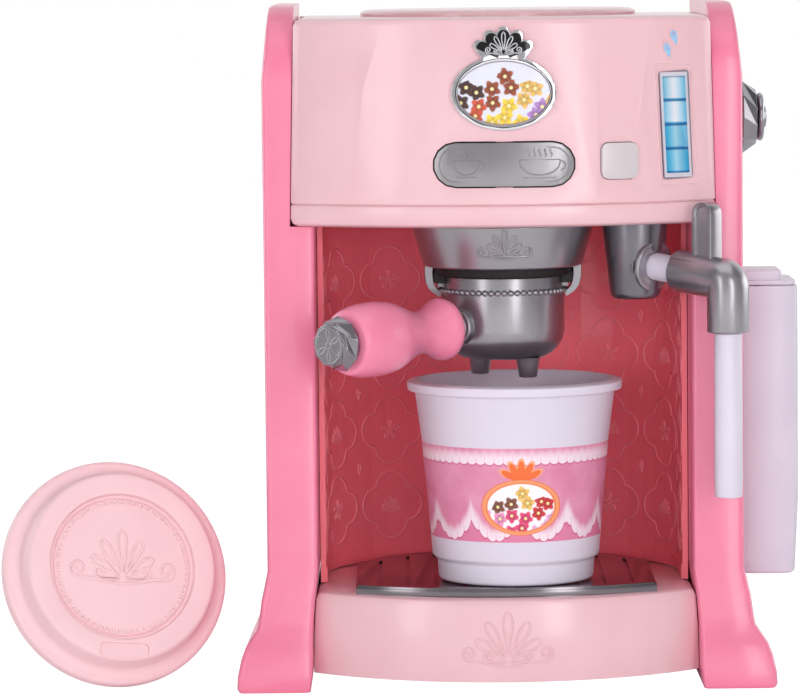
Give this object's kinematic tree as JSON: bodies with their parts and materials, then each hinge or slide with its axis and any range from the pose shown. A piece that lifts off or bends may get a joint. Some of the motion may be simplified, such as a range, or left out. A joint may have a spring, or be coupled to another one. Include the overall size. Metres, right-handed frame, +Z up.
{
  "type": "toy coffee machine",
  "caption": "Toy espresso machine with two side panels, bow-fronted head and base, twisting portafilter, swinging steam pipe, side tank and knob, takeaway cup and its lid.",
  "frame": {"origin": "on the floor under the centre of the whole set's plan: machine, tank, knob and the cup's lid", "axes": "+X to the machine's right-hand side seen from the front, +Y to its back, +Z up"},
  "size_m": [0.3258, 0.191, 0.2756],
  "materials": {
    "panel_pink": "glossy moulded plastic, darker pink",
    "head_pink": "glossy moulded plastic, light pink",
    "alcove_pink": "satin moulded plastic with a low relief",
    "tray_metallised": "dark metallised plastic, polished",
    "badge_chrome": "bright metallised plastic",
    "badge_print": "printed plate under a gloss coat",
    "gauge_print": "printed label",
    "silver_plastic": "silver grey metallic plastic, satin",
    "button_white": "pearl white plastic",
    "handle_pink": "glossy moulded plastic",
    "pearl_plastic": "glossy lavender white plastic",
    "seal_dark": "matt dark ring",
    "screw_steel": "zinc plated",
    "board_green": "coated circuit board",
    "keypad_rubber": "translucent silicone",
    "speaker_black": "black cone and basket",
    "battery_case": "printed metal case",
    "contact_steel": "nickel plated strip"
  },
  "bodies": {
    "machine": {"left_side_panel": "panel_pink", "right_side_panel": "panel_pink", "head_housing": "head_pink", "head_floor": "head_pink", "top_cover": "head_pink", "alcove_wall": "alcove_pink", "base_shell": "head_pink", "base_bottom_cover": "head_pink", "battery_door": "head_pink", "battery_door_screw": "screw_steel", "battery_1": "battery_case", "battery_2": "battery_case", "battery_3": "battery_case", "battery_contact_left": "contact_steel", "battery_contact_right": "contact_steel", "rear_cover": "head_pink", "rear_screw_1": "screw_steel", "rear_screw_2": "screw_steel", "rear_screw_3": "screw_steel", "rear_screw_4": "screw_steel", "base_screw_1": "screw_steel", "base_screw_2": "screw_steel", "base_screw_3": "screw_steel", "base_screw_4": "screw_steel", "circuit_board": "board_green", "keypad": "keypad_rubber", "speaker": "speaker_black", "drip_tray": "tray_metallised", "badge_bezel": "badge_chrome", "badge_plate": "badge_print", "water_gauge": "gauge_print", "rocker_pin": "screw_steel", "group_head": "silver_plastic", "group_gasket": "seal_dark", "steam_post": "silver_plastic", "steam_ring": "silver_plastic", "tank_rail": "panel_pink"},
    "portafilter": {"portafilter_basket": "silver_plastic", "portafilter_spouts": "silver_plastic", "portafilter_collar": "silver_plastic", "portafilter_handle": "handle_pink", "handle_cap": "silver_plastic"},
    "steam_arm": {"steam_pipe": "pearl_plastic", "steam_elbow": "silver_plastic", "steam_wand": "pearl_plastic"},
    "knob": {"knob_body": "silver_plastic", "knob_ring": "badge_chrome", "knob_retainer": "screw_steel"},
    "rocker": {"brew_rocker": "silver_plastic"},
    "button": {"function_button": "button_white"},
    "tank": {"tank_body": "pearl_plastic"},
    "tank_cover": {"tank_lid": "pearl_plastic"},
    "cup": {"cup_body": "pearl_plastic"},
    "lid": {"cup_lid": "head_pink"}
  },
  "joints": [
    {"name": "portafilter_twist", "type": "hinge", "parent": "machine", "child": "portafilter", "pos_m": [0.04158, -0.02005, 0.16], "axis": [0, 0, 1], "range_deg": [0, 45]},
    {"name": "steam_swing", "type": "hinge", "parent": "machine", "child": "steam_arm", "pos_m": [0.09477, -0.02605, 0.171], "axis": [0.7032, -0.7032, -0.1045], "range_deg": [-35, 15]},
    {"name": "knob_spin", "type": "hinge", "parent": "machine", "child": "knob", "pos_m": [0.13808, 0.02595, 0.2274], "axis": [1, 0, 0], "continuous": true},
    {"name": "rocker_tilt", "type": "hinge", "parent": "machine", "child": "rocker", "pos_m": [0.04158, -0.05455, 0.2125], "axis": [0, 0, 1], "range_deg": [-3, 3], "stiffness_Nm_per_rad": 0.8},
    {"name": "button_press", "type": "slide", "parent": "machine", "child": "button", "axis": [-0.3131, 0.9497, 0], "range_m": [0, 0.0012], "stiffness_N_per_m": 1200},
    {"name": "tank_lift", "type": "slide", "parent": "machine", "child": "tank", "axis": [0, 0, 1], "range_m": [0, 0.028]},
    {"name": "tank_lid_lift", "type": "slide", "parent": "tank", "child": "tank_cover", "axis": [0, 0, 1], "range_m": [0, 0.018]},
    {"name": "cup_slide", "type": "slide", "parent": "machine", "child": "cup", "axis": [0, -1, 0], "range_m": [0, 0.09]},
    {"name": "lid_lift", "type": "slide", "parent": "machine", "child": "lid", "axis": [0, 0, 1], "range_m": [0, 0.06]}
  ]
}
